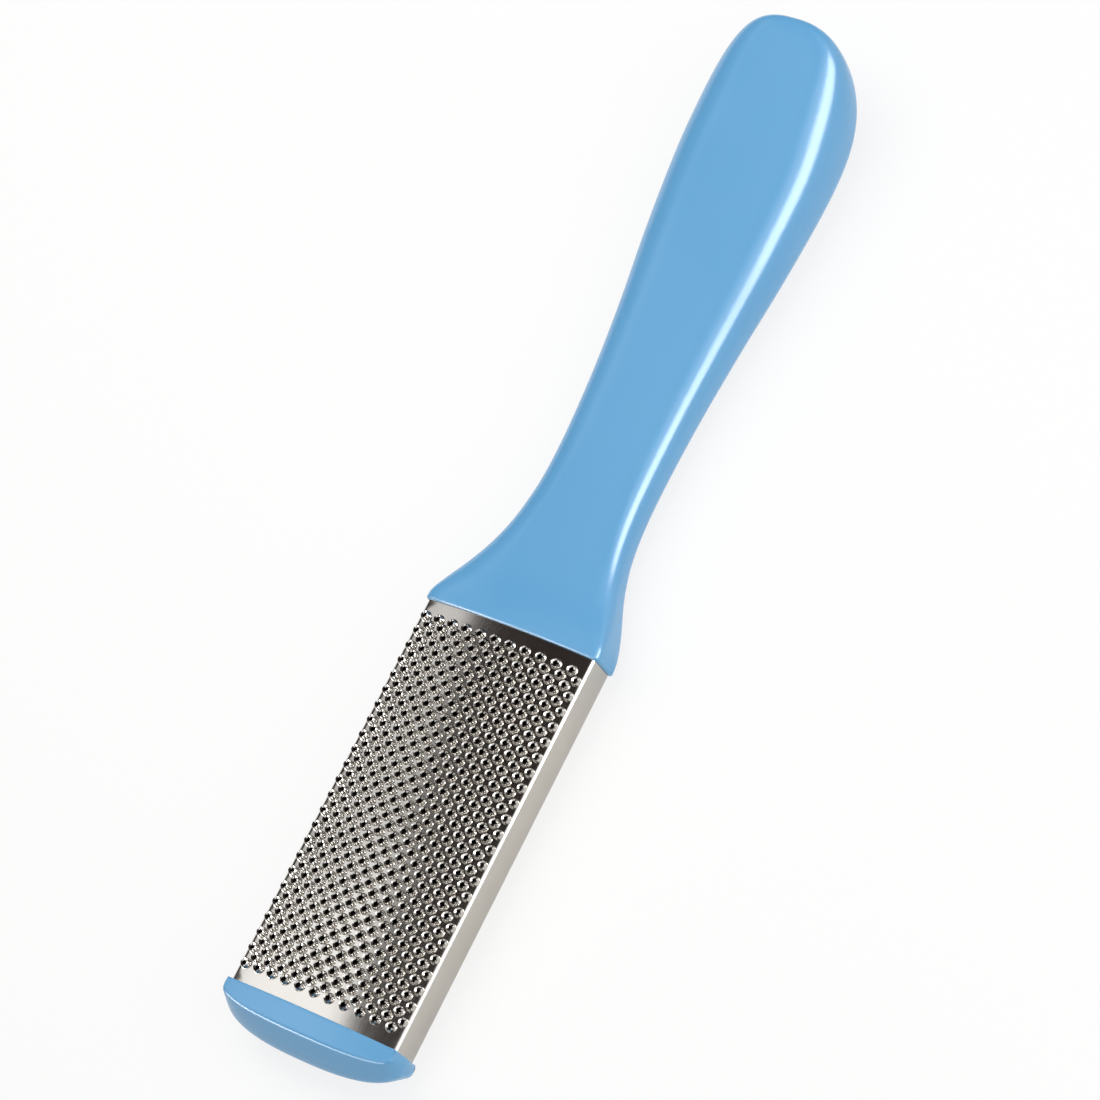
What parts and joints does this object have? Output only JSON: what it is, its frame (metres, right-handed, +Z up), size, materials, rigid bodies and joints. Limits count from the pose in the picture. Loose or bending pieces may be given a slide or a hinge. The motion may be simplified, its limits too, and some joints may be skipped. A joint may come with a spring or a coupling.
{
  "type": "foot file",
  "caption": "Hand-held foot file: a flat two-sided steel rasp head with punched burrs, a rounded end cap and a waisted hollow moulded handle.",
  "frame": {"origin": "middle of the tool's box in X and Y, at the lowest point of the handle's belly", "axes": "+X across the head, +Y along the tool from the end cap to the butt of the handle, +Z up out of the coarse rasp face"},
  "size_m": [0.0376, 0.207, 0.0227],
  "materials": {
    "blue_plastic": "glossy moulded plastic, light blue",
    "core_plastic": "plain moulded plastic, black, hidden inside the head",
    "rasp_steel": "bright rolled stainless sheet with punched burrs"
  },
  "bodies": {
    "root": {"handle_front_shell": "blue_plastic", "handle_back_shell": "blue_plastic", "head_core": "core_plastic", "coarse_rasp_plate": "rasp_steel", "fine_rasp_plate": "rasp_steel", "end_cap": "blue_plastic"}
  },
  "joints": []
}
